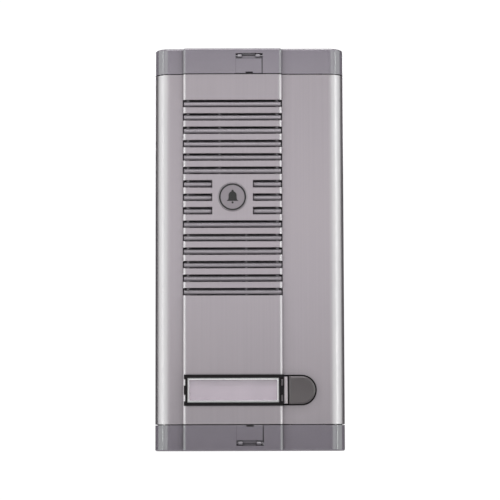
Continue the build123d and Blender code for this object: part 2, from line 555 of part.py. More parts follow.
with BuildPart() as electrolytic_capacitors:
    for x, z, radius, length in ((-24.0, -34.0, 4.0, 10.0), (-34.0, -44.0, 4.0, 10.0),
                                 (-20.0, -48.0, 3.2, 8.5), (32.0, -18.0, 5.0, 10.3)):
        foot, top = BOARD_FRONT + 0.03, BOARD_FRONT + length
        revolve(turned([(0, foot), (radius - 0.2, foot), (radius, foot + 0.6), (radius - 0.35, foot + 1.1),
                        (radius, foot + 1.6), (radius, top - 0.4), (radius - 0.4, top), (0, top)], x, z),
                axis=turning_axis(x, z))

with BuildPart() as resistors:
    resistor_h = BOARD_FRONT + 1.25
    for x, z in ((14.0, -14.0), (14.0, -17.5), (14.0, -21.0), (24.0, -34.0), (24.0, -37.5), (-12.0, -36.5)):
        with BuildSketch(Plane.YZ.offset(x - 3.1)):
            with Locations((-resistor_h, z)):
                Circle(1.15)
        extrude(amount=6.2)
        with BuildSketch(Plane.YZ.offset(x - 4.4)):
            with Locations((-resistor_h, z)):
                Circle(0.35)
        extrude(amount=8.8)

with BuildPart() as terminal_block:
    block_half, block_top, ways, way_pitch = 15.6, BOARD_REAR - 9.0, 6, 5.08
    terminal_z0, terminal_z1 = -8.5, 1.5
    way_places = [((n - (ways - 1) / 2) * way_pitch, (terminal_z0 + terminal_z1) / 2) for n in range(ways)]
    extrude(plate(-block_half, block_half, terminal_z0, terminal_z1, block_top), amount=8.97)
    chamfer(terminal_block.edges().filter_by(Axis.X).group_by(Axis.Y)[-1], 1.2)
    extrude(discs(way_places, 1.7, block_top - 1), amount=4.0, mode=Mode.SUBTRACT)
    with BuildSketch(Plane.XY.offset(terminal_z0 - 1)):
        with Locations(*[(x, -block_top - 5.6) for x, _ in way_places]):
            Rectangle(3.2, 3.4)
    extrude(amount=8, mode=Mode.SUBTRACT)

with BuildPart() as terminal_screws:
    for x, z in way_places:
        screw_face = block_top + 0.9
        extrude(discs([(x, z)], 1.55, screw_face), amount=2.0)
    for x, z in way_places:
        extrude(plate(x - 1.6, x + 1.6, z - 0.25, z + 0.25, screw_face - 1), amount=1.6, mode=Mode.SUBTRACT)

with BuildPart() as trimmer_bodies:
    for x, z in TRIMMER_PLACES.values():
        extrude(plate(x - 3.6, x + 3.6, z - 3.6, z + 3.6, TRIMMER_TOP), amount=4.37)
    extrude(discs(list(TRIMMER_PLACES.values()), 2.6, TRIMMER_TOP - 1), amount=3.6, mode=Mode.SUBTRACT)


def trimmer_rotor(x, z):
    """The slotted rotor of one volume trimmer, turned from the wall side."""
    with BuildPart() as rotor:
        face = TRIMMER_TOP - 0.5
        extrude(discs([(x, z)], 2.52, face), amount=3.0)
        extrude(plate(x - 2.6, x + 2.6, z - 0.35, z + 0.35, face - 1), amount=1.8, mode=Mode.SUBTRACT)
        extrude(plate(x, x + 0.9, z - 1.1, z + 1.1, face - 1), amount=1.8, mode=Mode.SUBTRACT)
    return rotor.part


with BuildPart() as speaker_volume_rotor:
    add(trimmer_rotor(*TRIMMER_PLACES["speaker"]))

with BuildPart() as microphone_volume_rotor:
    add(trimmer_rotor(*TRIMMER_PLACES["microphone"]))

with BuildPart() as name_lamps:
    for x, z in LED_PLACES:
        foot = BOARD_FRONT + 0.03
        with BuildSketch(turning_plane(x, z)):
            with BuildLine():
                rim_line = Polyline((0, foot), (2.9, foot), (2.9, foot + 1), (2.5, foot + 1), (2.5, foot + 5))
                crown = CenterArc((0, foot + 5), 2.5, 0, 90)
                Line(crown @ 1, (0, foot))
            make_face()
        revolve(axis=turning_axis(x, z))

with BuildPart() as switch_body:
    extrude(plate(BUTTON_X - 4, BUTTON_X + 4, UNIT_Z - 4, UNIT_Z + 4, SWITCH_BACK), amount=4.4)
    chamfer(switch_body.edges().filter_by(Axis.Y), 0.6)
    extrude(discs([(BUTTON_X, UNIT_Z)], 1.9, SWITCH_BACK + 1.1), amount=5, mode=Mode.SUBTRACT)

with BuildPart() as switch_plunger:
    plunger_top, stem_end = 23.0, 23.05
    extrude(discs([(BUTTON_X, UNIT_Z)], 1.75, SWITCH_BACK + 1.1 + BUTTON_TRAVEL + 0.15),
            amount=plunger_top - SWITCH_BACK - 1.1 - BUTTON_TRAVEL - 0.15)

# ---------------------------------------------------------------- button unit
LIP_BACK, LIP_FRONT = 31.8, FLANK + 0.3
FRAME_BACK, FRAME_FRONT = 30.0, 32.0
GUIDE_LEFT = -30.5

with BuildPart() as button_frame:
    lining_left, frame_deep = BAR_RIGHT + FIT, FRAME_BACK - 2
    extrude(plate(-37.5, 40.0, UNIT_Z - 12, UNIT_Z + 12, FRAME_BACK), amount=FRAME_FRONT - FRAME_BACK)
    extrude(discs(frame_posts, 2.6, CHASSIS_FRONT + 0.03), amount=1.5)
    extrude(half_round(lining_left, BUTTON_X, OPENING_HALF - 0.12, FRAME_BACK), amount=LIP_FRONT - FRAME_BACK)
    extrude(half_round(lining_left, BUTTON_X, 9.2, CHASSIS_FRONT + 0.03), amount=2)
    # seat for the light guide, and the slot for the holder's tongue
    extrude(plate(GUIDE_LEFT - 0.2, lining_left, UNIT_Z - 7.1, UNIT_Z + 7.1, frame_deep), amount=6,
            mode=Mode.SUBTRACT)
    extrude(plate(OPENING_LEFT - 0.1, OPENING_LEFT + 1.3, UNIT_Z - 3.2, UNIT_Z + 3.2, frame_deep), amount=6,
            mode=Mode.SUBTRACT)
    # the button's guide, and room for the flange behind it
    extrude(half_round(BUTTON_LEFT - FIT, BUTTON_X, BUTTON_R + FIT, frame_deep), amount=8, mode=Mode.SUBTRACT)
    extrude(half_round(BUTTON_LEFT - FIT, BUTTON_X, BUTTON_R + 1.1, frame_deep), amount=LIP_BACK - frame_deep,
            mode=Mode.SUBTRACT)
    extrude(discs(frame_posts, 1.15, CHASSIS_FRONT - 1), amount=3.6, mode=Mode.SUBTRACT)

with BuildPart() as frame_screws:
    for x, z in frame_posts:
        add(pan_screw(x, z, CHASSIS_REAR - 0.03, 2.4, 1.6, 1.05, FRAME_FRONT - 0.6, towards_front=False))

with BuildPart() as name_holder:
    holder_back = FRAME_FRONT + 0.1
    body_left, body_half = OPENING_LEFT + FIT, OPENING_HALF - FIT
    extrude(plate(body_left, HOLDER_RIGHT, UNIT_Z - body_half, UNIT_Z + body_half, holder_back),
            amount=DEPTH + 0.03 - holder_back)
    rim_left = BAND_LEFT + 0.6
    extrude(plate(rim_left, HOLDER_RIGHT, UNIT_Z - 8.0, UNIT_Z + 8.0, DEPTH + 0.03), amount=0.47)
    # two notches in the left end take a blade, to pull the holder out,
    # and the light guide's tabs fill two more at the right end
    notch_left, notch_right, notch_dz = HOLDER_RIGHT - 1.2, HOLDER_RIGHT - 0.3, 4.0
    for dz in (-notch_dz, notch_dz):
        z0, z1 = UNIT_Z + dz - 1.7, UNIT_Z + dz + 1.7
        extrude(plate(rim_left - 1, rim_left + 0.9, z0, z1, DEPTH - 1), amount=3, mode=Mode.SUBTRACT)
        extrude(plate(notch_left, notch_right, z0, z1, holder_back - 1), amount=6, mode=Mode.SUBTRACT)
    # window for the lens, and the smaller opening that lights the card from behind
    extrude(window_plate(0, DEPTH - 1.1), amount=4, mode=Mode.SUBTRACT)
    extrude(window_plate(0.9, holder_back - 1), amount=6, mode=Mode.SUBTRACT)
    extrude(plate(body_left, body_left + 0.9, UNIT_Z - 3.0, UNIT_Z + 3.0, FRAME_BACK + 0.3), amount=3)

with BuildPart() as name_card:
    extrude(window_plate(0.1, DEPTH - 1.07), amount=0.3)

with BuildPart() as name_window:
    extrude(window_plate(0.06, DEPTH - 0.74), amount=1.3)
    chamfer(name_window.faces().sort_by(Axis.Y)[0].edges(), 0.9)

with BuildPart() as light_guide:
    guide_back, guide_front = CHASSIS_FRONT + 0.05, FRAME_FRONT - 0.1
    for left, front in ((GUIDE_LEFT, guide_front), (BAR_LEFT, DEPTH - 0.4)):
        extrude(plate(left, BAR_RIGHT, UNIT_Z - 6.9, UNIT_Z + 6.9, guide_back), amount=front - guide_back)
    for dz in (-notch_dz, notch_dz):
        extrude(plate(notch_left + FIT / 2, notch_right - FIT / 2,
                      UNIT_Z + dz - 1.6, UNIT_Z + dz + 1.6, guide_back),
                amount=DEPTH - 0.6 - guide_back)
    fillet(light_guide.edges().filter_by(Axis.Z).group_by(Axis.Y)[0], 0.4)

with BuildPart() as call_button:
    skirt_back = LIP_BACK - 0.9
    extrude(half_round(BUTTON_LEFT, BUTTON_X, BUTTON_R, skirt_back), amount=BUTTON_TOP - skirt_back)
    fillet(call_button.faces().sort_by(Axis.Y)[0].edges(), 1.1)
    # shallow dish for the fingertip
    dish_r, dish_depth = 90.0, 0.22
    with Locations((BUTTON_X - 0.6, -BUTTON_TOP - dish_r + dish_depth, UNIT_Z)):
        Sphere(dish_r, mode=Mode.SUBTRACT)
    extrude(half_round(BUTTON_LEFT + 1.5, BUTTON_X, BUTTON_R + 0.85, skirt_back), amount=0.8)
    hollow_depth = BUTTON_TOP - skirt_back - 1.5
    extrude(half_round(BUTTON_LEFT + 1.2, BUTTON_X, BUTTON_R - 1.2, skirt_back - 1), amount=hollow_depth + 1,
            mode=Mode.SUBTRACT)
    extrude(discs([(BUTTON_X, UNIT_Z)], STEM_R, stem_end), amount=BUTTON_TOP - 1 - stem_end)

with BuildPart() as button_spring:
    wire_r, coil_r, turns = 0.24, 3.6, 5
    spring_back, spring_front = CHASSIS_FRONT + wire_r + 0.05, BUTTON_TOP - 1.55 - wire_r
    spring_length = spring_front - spring_back
    with BuildLine():
        coil = Helix(pitch=spring_length / turns, height=spring_length, radius=coil_r,
                     center=(BUTTON_X, -spring_back, UNIT_Z), direction=(0, -1, 0))
    with BuildSketch(Plane(origin=coil @ 0, z_dir=coil % 0)):
        Circle(wire_r)
    sweep(path=coil, is_frenet=True)

# ---------------------------------------------------------------- leads inside the casing
WIRE_R = 0.5


def lead(points, bend_r):
    """A thin insulated lead: straight runs joined by tangent arcs. Points are (x, z, height off the wall)."""
    corners = [(x, -height, z) for x, z, height in points]
    with BuildPart() as wire:
        with BuildLine() as route:
            FilletPolyline(*corners, radius=bend_r)
        with BuildSketch(Plane(origin=route.line @ 0, z_dir=route.line % 0)):
            Circle(WIRE_R)
        sweep(path=route.line)
    return wire.part


with BuildPart() as speaker_leads:
    for side in (-1, 1):
        pad_x = SPEAKER_X + side * 3.8
        tab_z = strip_z - 2.45 - WIRE_R
        end_x, end_z = pad_x + 2 * side, BOARD_TOP - 3
        add(lead([(pad_x, tab_z, 21.4), (pad_x, tab_z, 17.8), (end_x, end_z, 20.4),
                  (end_x, end_z, BOARD_FRONT + 0.1)], 1.6))

with BuildPart() as microphone_leads:
    for side in (-1, 1):
        pin_x = MIC_X + side * 1.3
        end_x, end_z = pin_x + side * 0.6, MIC_Z - 6.6
        add(lead([(pin_x, MIC_Z, boot_back + 0.7), (pin_x, MIC_Z, boot_back - 2.4),
                  (end_x, end_z, boot_back - 2.4), (end_x, end_z, BOARD_FRONT + 0.1)], 1.4))

# ---------------------------------------------------------------- write every piece
PIECES = {
    "front_cover": front_cover,
    "top_end_cap": top_end_cap,
    "bottom_end_cap": bottom_end_cap,
    "top_screw_flap": top_screw_flap,
    "bottom_screw_flap": bottom_screw_flap,
    "cover_screws": cover_screws,
    "wall_box": wall_box,
    "cable_grommet": cable_grommet,
    "wall_seal": wall_seal,
    "module_chassis": module_chassis,
    "louvre_insert": louvre_insert,
    "dust_screen": dust_screen,
    "badge_disc": badge_disc,
    "badge_inlay": badge_inlay,
    "speaker_basket": speaker_basket,
    "speaker_surround": speaker_surround,
    "speaker_cone": speaker_cone,
    "speaker_dust_cap": speaker_dust_cap,
    "speaker_voice_coil": speaker_voice_coil,
    "speaker_top_plate": speaker_top_plate,
    "speaker_magnet": speaker_magnet,
    "speaker_yoke": speaker_yoke,
    "speaker_gasket": speaker_gasket,
    "speaker_terminal_strip": speaker_terminal_strip,
    "speaker_clamps": speaker_clamps,
    "speaker_clamp_screws": speaker_clamp_screws,
    "microphone_boot": microphone_boot,
    "microphone_capsule": microphone_capsule,
    "amplifier_board": amplifier_board,
    "board_screws": board_screws,
    "amplifier_chips": amplifier_chips,
    "electrolytic_capacitors": electrolytic_capacitors,
    "resistors": resistors,
    "terminal_block": terminal_block,
    "terminal_screws": terminal_screws,
    "trimmer_bodies": trimmer_bodies,
    "speaker_volume_rotor": speaker_volume_rotor,
    "microphone_volume_rotor": microphone_volume_rotor,
    "name_lamps": name_lamps,
    "switch_body": switch_body,
    "switch_plunger": switch_plunger,
    "button_frame": button_frame,
    "frame_screws": frame_screws,
    "name_holder": name_holder,
    "name_card": name_card,
    "name_window": name_window,
    "light_guide": light_guide,
    "call_button": call_button,
    "button_spring": button_spring,
    "speaker_leads": speaker_leads,
    "microphone_leads": microphone_leads,
}

os.makedirs("parts", exist_ok=True)
for name, piece in PIECES.items():
    piece.part.label = name
    export_step(piece.part, f"parts/{name}.step")
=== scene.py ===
import math

import bmesh
import bpy
from mathutils import Matrix, Vector


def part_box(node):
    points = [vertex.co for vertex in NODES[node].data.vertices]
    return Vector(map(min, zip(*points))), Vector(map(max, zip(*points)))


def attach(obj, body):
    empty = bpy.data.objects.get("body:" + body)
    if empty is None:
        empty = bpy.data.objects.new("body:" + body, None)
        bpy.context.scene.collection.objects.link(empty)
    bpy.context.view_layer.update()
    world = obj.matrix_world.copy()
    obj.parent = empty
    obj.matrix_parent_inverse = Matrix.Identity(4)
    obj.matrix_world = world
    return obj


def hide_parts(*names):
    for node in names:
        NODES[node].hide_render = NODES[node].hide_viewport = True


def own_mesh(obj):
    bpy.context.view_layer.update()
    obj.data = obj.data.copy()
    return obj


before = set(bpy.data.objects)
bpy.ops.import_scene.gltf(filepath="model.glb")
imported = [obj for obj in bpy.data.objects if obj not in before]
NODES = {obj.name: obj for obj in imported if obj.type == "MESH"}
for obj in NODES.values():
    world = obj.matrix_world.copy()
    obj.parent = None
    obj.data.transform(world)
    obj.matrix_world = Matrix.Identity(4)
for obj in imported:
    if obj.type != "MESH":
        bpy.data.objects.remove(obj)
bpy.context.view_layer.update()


# ---------------------------------------------------------------- node helpers

def opaque(colour):
    """A colour for a node's socket: another node's output as it is, or (r, g, b) with full alpha."""
    return colour if isinstance(colour, bpy.types.NodeSocket) else (*colour, 1.0)


class Shader:
    """A node material under construction. Sizes are in metres, in the frame's own coordinates."""

    def __init__(self, name):
        self.material = bpy.data.materials.new(name)
        self.material.use_nodes = True
        self.tree = self.material.node_tree
        self.bsdf = self.tree.nodes["Principled BSDF"]
        self.place = self.node("ShaderNodeTexCoord").outputs["Object"]

    def node(self, kind, **settings):
        made = self.tree.nodes.new(kind)
        for key, value in settings.items():
            setattr(made, key, value)
        return made

    def link(self, source, target):
        self.tree.links.new(source, target)

    def feed(self, socket, value):
        if isinstance(value, bpy.types.NodeSocket):
            self.link(value, socket)
        else:
            socket.default_value = value

    def stretched(self, scale):
        mapping = self.node("ShaderNodeMapping")
        mapping.inputs["Scale"].default_value = scale
        self.link(self.place, mapping.inputs["Vector"])
        return mapping.outputs["Vector"]

    def noise(self, size, detail=2.0, vector=None, roughness=0.5):
        made = self.node("ShaderNodeTexNoise")
        made.inputs["Scale"].default_value = 1.0 / size
        made.inputs["Detail"].default_value = detail
        made.inputs["Roughness"].default_value = roughness
        self.link(vector or self.place, made.inputs["Vector"])
        return made.outputs["Fac"]

    def cells(self, size, feature="F1", vector=None):
        made = self.node("ShaderNodeTexVoronoi", feature=feature)
        made.inputs["Scale"].default_value = 1.0 / size
        self.link(vector or self.place, made.inputs["Vector"])
        return made.outputs["Distance"]

    def bands(self, size, direction, vector=None, profile="SIN"):
        made = self.node("ShaderNodeTexWave", bands_direction=direction, wave_profile=profile)
        made.inputs["Scale"].default_value = math.pi / (10.0 * size)
        self.link(vector or self.place, made.inputs["Vector"])
        return made.outputs["Fac"]

    def math(self, operation, a, b=0.0):
        made = self.node("ShaderNodeMath", operation=operation)
        self.feed(made.inputs[0], a)
        self.feed(made.inputs[1], b)
        return made.outputs[0]

    def range(self, value, low, high, start=0.3, stop=0.7):
        made = self.node("ShaderNodeMapRange")
        self.link(value, made.inputs["Value"])
        for key, number in (("From Min", start), ("From Max", stop), ("To Min", low), ("To Max", high)):
            made.inputs[key].default_value = number
        return made.outputs["Result"]

    def mix(self, factor, a, b):
        made = self.node("ShaderNodeMix", data_type="RGBA")
        self.feed(made.inputs["Factor"], factor)
        for socket, colour in ((made.inputs[6], a), (made.inputs[7], b)):
            self.feed(socket, opaque(colour))
        return made.outputs[2]

    def crevice(self, reach, samples=8):
        """0 in the open to 1 deep in a corner, from how much of the object stands within reach."""
        made = self.node("ShaderNodeAmbientOcclusion", samples=samples)
        made.inputs["Distance"].default_value = reach
        return self.math("SUBTRACT", 1.0, made.outputs["AO"])

    def bump(self, height, depth, strength=1.0, after=None):
        made = self.node("ShaderNodeBump")
        made.inputs["Strength"].default_value = strength
        made.inputs["Distance"].default_value = depth
        self.link(height, made.inputs["Height"])
        if after is not None:
            self.link(after, made.inputs["Normal"])
        return made.outputs["Normal"]

    def done(self, colour=None, rough=None, normal=None, **sockets):
        if colour is not None:
            self.feed(self.bsdf.inputs["Base Color"], opaque(colour))
        if rough is not None:
            self.feed(self.bsdf.inputs["Roughness"], rough)
        if normal is not None:
            self.link(normal, self.bsdf.inputs["Normal"])
        for key, value in sockets.items():
            self.bsdf.inputs[key.replace("_", " ")].default_value = value
        return self.material


def shade(colour, factor):
    return tuple(min(1.0, channel * factor) for channel in colour)


def moulded(name, colour, rough=0.45, grain=0.00022, depth=0.000006, vary=0.05, painted_corner_shade=0.0, **sockets):
    """Injection-moulded plastic: fine spark-eroded texture, faint flow shading, and optional painted shade
    darkening the corners.
    """
    s = Shader(name)
    cloud = s.noise(0.03, 3.0)
    fine = s.noise(grain, 2.0)
    tint = s.mix(s.range(cloud, 0.0, 1.0), shade(colour, 1 - vary), shade(colour, 1 + vary))
    tint = s.mix(s.range(fine, 0.0, 0.5, 0.35, 0.65), tint, shade(colour, 1 + 2 * vary))
    if painted_corner_shade:
        # painted shade: the colour darkens in corners and recesses, where shade falls
        tint = s.mix(s.range(s.crevice(0.006), 0.0, painted_corner_shade, 0.0, 0.6), tint, shade(colour, 0.35))
    return s.done(tint, s.range(fine, rough - 0.05, rough + 0.06), s.bump(fine, depth), **sockets)


def brushed(name, colour, rough=0.3, along=(1, 1, 0.02), grain=0.0002, depth=0.000003, vary=0.06, metal=1.0):
    """Metal with a fine grain drawn along one axis."""
    s = Shader(name)
    line = s.noise(grain, 3.0, s.stretched(along))
    cloud = s.noise(0.02, 3.0)
    tint = s.mix(s.range(line, 0.0, 1.0), shade(colour, 1 - vary), shade(colour, 1 + vary))
    tone = s.mix(s.range(cloud, 0.0, 0.35), tint, shade(colour, 1 - 2 * vary))
    return s.done(tone, s.range(line, rough - 0.05, rough + 0.07), s.bump(line, depth), Metallic=metal)


def plated(name, colour=(0.62, 0.62, 0.63), rough=0.32):
    """Zinc-plated steel: cloudy spangle and small pits."""
    s = Shader(name)
    spangle = s.cells(0.0016)
    cloud = s.noise(0.004, 4.0)
    tone = s.mix(s.range(spangle, 0.0, 0.6, 0.0, 0.9), shade(colour, 1.08), shade(colour, 0.85))
    tone = s.mix(s.range(cloud, 0.0, 0.4), tone, (0.66, 0.64, 0.55))
    pits = s.noise(0.0002, 2.0)
    return s.done(tone, s.range(cloud, rough - 0.08, rough + 0.12), s.bump(pits, 0.000006), Metallic=1.0)


def anodised_aluminium():
    """Extruded and satin anodised: faint die lines down the length, etched grain, and painted shade
    darkening the corners and the foot of the raised band.
    """
    s = Shader("anodised_aluminium")
    die_lines = s.noise(0.0009, 4.0, s.stretched((1.0, 1.0, 0.006)))
    etch = s.noise(0.00012, 2.0)
    cloud = s.noise(0.045, 3.0)
    base = s.mix(s.range(die_lines, 0.0, 1.0, 0.25, 0.75), (0.630, 0.570, 0.623), (0.680, 0.614, 0.670))
    base = s.mix(s.range(cloud, 0.0, 0.5), base, (0.685, 0.612, 0.655))
    base = s.mix(s.range(etch, 0.0, 0.35), base, (0.595, 0.538, 0.586))
    # painted shade: the colour darkens in corners and beside the raised band, where shade falls
    base = s.mix(s.range(s.crevice(0.006), 0.0, 0.85, 0.0, 0.6), base, (0.22, 0.205, 0.22))
    rough = s.math("ADD", s.range(etch, 0.28, 0.36), s.range(die_lines, 0.0, 0.04))
    normal = s.bump(etch, 0.0000025)
    normal = s.bump(die_lines, 0.000004, 1.0, normal)
    return s.done(base, rough, normal, Metallic=1.0)


def clear_window():
    """Clear acrylic with faint wipe marks in its gloss, and a ground bevel that reads white with a faint
    painted glow.
    """
    s = Shader("clear_window")
    haze = s.noise(0.006, 4.0, s.stretched((0.25, 1.0, 1.0)))
    s.done((0.97, 0.965, 0.98), s.range(haze, 0.02, 0.06), s.bump(s.noise(0.004, 2.0), 0.000004), IOR=1.49)
    s.bsdf.inputs["Transmission Weight"].default_value = 1.0
    see = s.node("ShaderNodeBsdfTransparent")
    see.inputs["Color"].default_value = (0.95, 0.945, 0.96, 1.0)
    path = s.node("ShaderNodeLightPath")
    pane = s.node("ShaderNodeMixShader")
    s.link(path.outputs["Is Shadow Ray"], pane.inputs["Fac"])
    s.link(s.bsdf.outputs["BSDF"], pane.inputs[1])
    s.link(see.outputs["BSDF"], pane.inputs[2])
    ground = s.node("ShaderNodeBsdfPrincipled")
    scratch = s.noise(0.0003, 3.0)
    tone = s.mix(s.range(scratch, 0.0, 1.0), (0.84, 0.82, 0.84), (0.95, 0.93, 0.95))
    s.link(tone, ground.inputs["Base Color"])
    s.link(s.range(scratch, 0.35, 0.55), ground.inputs["Roughness"])
    # painted highlight: the bevel glows faintly of itself, so the border round the card reads bright
    ground.inputs["Emission Color"].default_value = (1.0, 0.97, 1.0, 1.0)
    ground.inputs["Emission Strength"].default_value = 0.12
    s.material.cycles.emission_sampling = "NONE"
    facing = s.node("ShaderNodeSeparateXYZ")
    s.link(s.node("ShaderNodeNewGeometry").outputs["True Normal"], facing.inputs["Vector"])
    flat = s.math("GREATER_THAN", s.math("ABSOLUTE", facing.outputs["Y"]), 0.95)
    whole = s.node("ShaderNodeMixShader")
    s.link(flat, whole.inputs["Fac"])
    s.link(ground.outputs["BSDF"], whole.inputs[1])
    s.link(pane.outputs["Shader"], whole.inputs[2])
    s.link(whole.outputs["Shader"], s.tree.nodes["Material Output"].inputs["Surface"])
    return s.material


def card_paper():
    s = Shader("card_paper")
    fibre = s.noise(0.00035, 4.0, s.stretched((0.35, 1.0, 1.0)))
    cloud = s.noise(0.012, 2.0)
    tone = s.mix(s.range(cloud, 0.0, 1.0), (0.512, 0.430, 0.493), (0.558, 0.469, 0.533))
    tone = s.mix(s.range(fibre, 0.0, 0.4), tone, (0.595, 0.517, 0.568))
    return s.done(tone, s.range(fibre, 0.75, 0.9), s.bump(fibre, 0.000012), Specular_IOR_Level=0.25)


def printed_board():
    """Green solder mask over copper tracks, which show lighter and stand a little proud."""
    s = Shader("printed_board")
    parts = s.node("ShaderNodeSeparateXYZ")
    s.link(s.place, parts.inputs["Vector"])
    tracks = s.cells(0.0062, "DISTANCE_TO_EDGE", s.stretched((1.0, 1.0, 0.55)))
    copper = s.range(tracks, 1.0, 0.0, 0.035, 0.075)
    weave = s.noise(0.0006, 2.0)
    tone = s.mix(copper, (0.012, 0.105, 0.045), (0.035, 0.21, 0.085))
    tone = s.mix(s.range(weave, 0.0, 0.3), tone, (0.01, 0.08, 0.035))
    return s.done(tone, s.range(weave, 0.24, 0.36), s.bump(copper, 0.00003), Coat_Weight=0.3)


def woven_screen():
    s = Shader("woven_screen")
    warp = s.bands(0.0006, "X")
    weft = s.bands(0.0006, "Z")
    threads = s.math("MAXIMUM", warp, weft)
    tone = s.mix(threads, (0.006, 0.006, 0.007), (0.05, 0.05, 0.052))
    return s.done(tone, s.range(threads, 0.9, 0.6, 0.0, 1.0), s.bump(threads, 0.00008))


def foam(name="seal_foam"):
    s = Shader(name)
    pores = s.cells(0.0007)
    tone = s.mix(s.range(pores, 0.0, 1.0, 0.1, 0.7), (0.012, 0.012, 0.013), (0.07, 0.07, 0.072))
    return s.done(tone, 0.95, s.bump(pores, 0.0002), Specular_IOR_Level=0.2)


def paper_cone():
    s = Shader("paper_cone")
    pulp = s.noise(0.0006, 5.0, roughness=0.65)
    tone = s.mix(s.range(pulp, 0.0, 1.0), (0.016, 0.016, 0.019), (0.05, 0.048, 0.05))
    return s.done(tone, s.range(pulp, 0.6, 0.85), s.bump(pulp, 0.00008))


def ferrite():
    s = Shader("ferrite")
    grit = s.noise(0.0004, 5.0, roughness=0.7)
    chips = s.cells(0.002)
    tone = s.mix(s.range(grit, 0.0, 1.0), (0.035, 0.035, 0.039), (0.09, 0.088, 0.09))
    relief = s.math("ADD", grit, s.math("MULTIPLY", chips, 0.3))
    return s.done(tone, s.range(grit, 0.55, 0.8), s.bump(relief, 0.00006))


def wound_copper():
    s = Shader("wound_copper")
    turns = s.bands(0.00025, "Y")
    # painted shade and highlight: the colour runs dark in the grooves between turns and bright on their
    # crests
    tone = s.mix(turns, (0.25, 0.09, 0.03), (0.72, 0.34, 0.14))
    return s.done(tone, s.range(turns, 0.4, 0.22, 0.0, 1.0), s.bump(turns, 0.00008), Metallic=1.0)


def resistor_body():
    """Pale lacquer with painted rings across the body."""
    s = Shader("resistor_body")
    rings = s.bands(0.0016, "X", profile="SAW")
    lacquer = s.noise(0.0012, 3.0)
    tone = s.mix(s.range(lacquer, 0.0, 1.0), (0.50, 0.36, 0.22), (0.60, 0.46, 0.30))
    tone = s.mix(s.range(rings, 0.0, 1.0, 0.70, 0.72), tone, (0.20, 0.04, 0.02))
    tone = s.mix(s.range(rings, 0.0, 1.0, 0.88, 0.90), tone, (0.55, 0.40, 0.06))
    return s.done(tone, s.range(lacquer, 0.15, 0.28), s.bump(lacquer, 0.00003), Coat_Weight=0.5)


def can_sleeve():
    """Shrink sleeve of a capacitor: satin, with a paler stripe down one side."""
    s = Shader("can_sleeve")
    wrinkle = s.noise(0.0015, 3.0)
    stripe = s.bands(0.009, "X", profile="SAW")
    tone = s.mix(s.range(wrinkle, 0.0, 1.0), (0.012, 0.014, 0.03), (0.022, 0.025, 0.05))
    tone = s.mix(s.range(stripe, 0.0, 1.0, 0.86, 0.88), tone, (0.42, 0.43, 0.45))
    return s.done(tone, s.range(wrinkle, 0.25, 0.4), s.bump(wrinkle, 0.00003))


def milky(name, colour, rough=0.3, glow=0.0):
    """Translucent white plastic."""
    s = Shader(name)
    swirl = s.noise(0.006, 4.0)
    fine = s.noise(0.00025, 2.0)
    tone = s.mix(s.range(swirl, 0.0, 1.0), shade(colour, 0.94), shade(colour, 1.04))
    s.done(tone, s.range(fine, rough, rough + 0.1), s.bump(fine, 0.000005), IOR=1.49)
    s.bsdf.inputs["Subsurface Weight"].default_value = 0.25
    s.bsdf.inputs["Subsurface Radius"].default_value = (0.0008, 0.0008, 0.0009)
    s.bsdf.inputs["Subsurface Scale"].default_value = 1.0
    return s.material


def rubbery(name, colour=(0.02, 0.02, 0.021)):
    s = Shader(name)
    bloom = s.noise(0.007, 4.0)
    fine = s.noise(0.0003, 3.0)
    tone = s.mix(s.range(bloom, 0.0, 1.0), colour, shade(colour, 1.9))
    return s.done(tone, s.range(fine, 0.6, 0.8), s.bump(fine, 0.00002), Specular_IOR_Level=0.35)


def wire_jacket(name, colour):
    s = Shader(name)
    scuff = s.noise(0.0015, 4.0, s.stretched((1.0, 1.0, 0.4)))
    tone = s.mix(s.range(scuff, 0.0, 1.0), shade(colour, 0.8), shade(colour, 1.15))
    return s.done(tone, s.range(scuff, 0.22, 0.42), s.bump(scuff, 0.00001))


def satin_badge():
    """Badge disc: sheet metal with a fine circular grain."""
    s = Shader("satin_badge")
    low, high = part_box("badge_disc")
    middle = (low + high) / 2
    shift = s.node("ShaderNodeVectorMath", operation="SUBTRACT")
    shift.inputs[1].default_value = middle
    s.link(s.place, shift.inputs[0])
    rings = s.node("ShaderNodeTexWave", wave_type="RINGS", rings_direction="Y")
    rings.inputs["Scale"].default_value = 900.0
    rings.inputs["Distortion"].default_value = 1.5
    s.link(shift.outputs[0], rings.inputs["Vector"])
    etch = s.noise(0.00015, 2.0)
    tone = s.mix(rings.outputs["Fac"], (0.445, 0.395, 0.440), (0.495, 0.440, 0.485))
    tone = s.mix(s.range(etch, 0.0, 0.4), tone, (0.41, 0.365, 0.405))
    return s.done(tone, s.range(etch, 0.34, 0.44), s.bump(rings.outputs["Fac"], 0.000003), Metallic=1.0)


# ---------------------------------------------------------------- materials of the CAD nodes

STEEL = plated("zinc_plated_steel")
# the caps get painted shade in their corners and beside the raised band
CAP = moulded("cap_plastic", (0.221, 0.191, 0.233), 0.14, painted_corner_shade=0.9, depth=0.000002,
              IOR=1.7, Specular_IOR_Level=1.0)
BOX = moulded("box_plastic", (0.36, 0.355, 0.365), 0.5, depth=0.00001)
BLACK = moulded("black_plastic", (0.0060, 0.0038, 0.0054), 0.42, Specular_IOR_Level=0.3)
COMPONENT = moulded("component_epoxy", (0.022, 0.022, 0.024), 0.6, grain=0.0003, depth=0.00002)
RUBBER = rubbery("rubber")
CONE = paper_cone()
ROTOR = moulded("rotor_plastic", (0.62, 0.59, 0.52), 0.35)
SEAL = foam()

